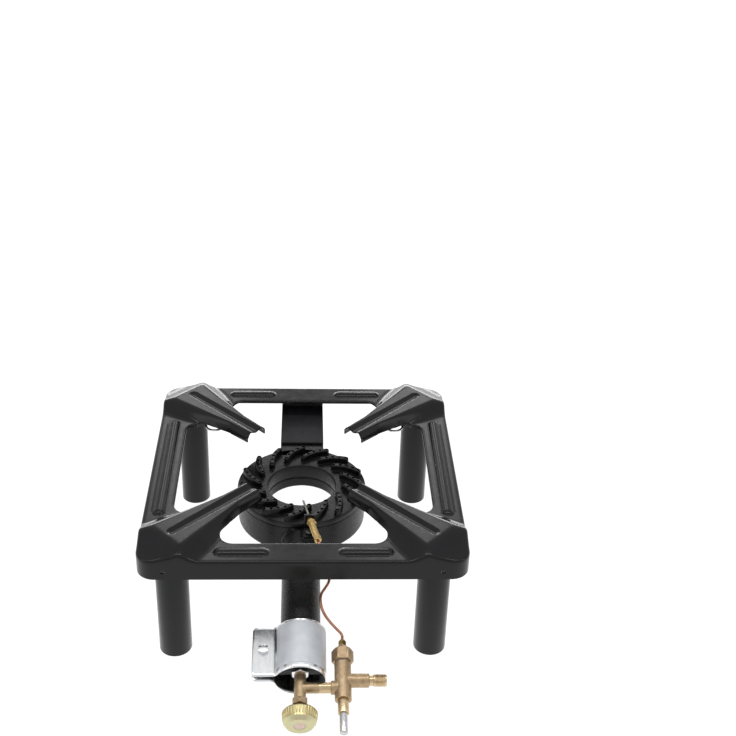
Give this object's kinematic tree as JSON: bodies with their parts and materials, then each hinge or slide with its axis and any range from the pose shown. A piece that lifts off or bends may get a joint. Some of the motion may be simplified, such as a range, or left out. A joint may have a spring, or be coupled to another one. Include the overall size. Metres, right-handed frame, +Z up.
{
  "type": "wok burner",
  "caption": "Square pressed-steel gas stool on tube legs with grooved corner arms for a wok, a ribbed cast ring burner, an air shutter, a knob valve and a thermocouple safety valve.",
  "frame": {"origin": "on the floor under the middle of the square frame", "axes": "+X to the side of the gas inlet, +Y to the back where the strap is, +Z up; the knob faces -Y"},
  "size_m": [0.35, 0.4801, 0.157],
  "materials": {
    "frame_black": "satin black stove paint over pressed sheet",
    "leg_black": "semi-gloss bluish black paint",
    "cast_iron": "matt black, grainy casting",
    "zinc": "bright zinc plating",
    "steel": "turned bright steel",
    "brass_body": "brown satin brass, as stamped",
    "brass_turned": "bright turned brass",
    "chromate": "yellow chromate over zinc",
    "copper": "drawn copper, slightly dulled",
    "thermo_steel": "heat-resisting steel",
    "packing": "graphite packing",
    "gasket": "grey fibre gasket"
  },
  "bodies": {
    "stand": {"top_frame": "frame_black", "leg_front_left": "leg_black", "leg_front_right": "leg_black", "leg_back_left": "leg_black", "leg_back_right": "leg_black", "leg_brackets": "frame_black", "ring_screws": "zinc", "rear_strap": "frame_black", "strap_lug_screws": "zinc", "strap_frame_bolts": "zinc", "strap_frame_nuts": "zinc", "burner_base": "cast_iron", "burner_cap": "cast_iron", "injector": "brass_turned", "injector_nut": "zinc", "control_valve_body": "brass_body", "valve_packing": "packing", "gland_nut": "brass_turned", "outlet_nipple": "brass_turned", "safety_valve_body": "brass_body", "bonnet_gasket": "gasket", "safety_valve_bonnet": "brass_body", "magnet_unit": "steel", "button_spring": "steel", "button_guide": "brass_turned", "inlet_nipple": "brass_turned", "thermocouple_nut": "brass_turned", "thermocouple_lead": "copper", "thermocouple_sleeve": "brass_turned", "thermocouple_tip": "thermo_steel", "thermocouple_bracket": "frame_black", "bracket_screw": "zinc"},
    "spindle": {"valve_spindle": "brass_turned"},
    "knob": {"valve_knob": "chromate", "knob_screw": "copper"},
    "button": {"push_button": "steel", "valve_stem": "steel"},
    "shutter": {"air_shutter": "zinc", "shutter_bolt": "zinc", "shutter_nut": "zinc"}
  },
  "joints": [
    {"name": "spindle_travel", "type": "slide", "parent": "stand", "child": "spindle", "axis": [0, -0.9659, -0.2588], "range_m": [0, 0.0015]},
    {"name": "knob_turn", "type": "hinge", "parent": "spindle", "child": "knob", "pos_m": [-0.003, -0.28167, 0.03435], "axis": [0, -0.9659, -0.2588], "range_deg": [0, 540]},
    {"name": "button_push", "type": "slide", "parent": "stand", "child": "button", "axis": [0, 0.9659, 0.2588], "range_m": [0, 0.006], "stiffness_N_per_m": 1500, "springref_m": -0.004, "deforming": ["button_spring"]},
    {"name": "shutter_slide", "type": "slide", "parent": "stand", "child": "shutter", "axis": [0, -0.9659, -0.2588], "range_m": [-0.02, 0.003]}
  ],
  "couplings": [
    {"joint": "knob_turn", "follows": "spindle_travel", "rad_per_m": 6283.2}
  ]
}
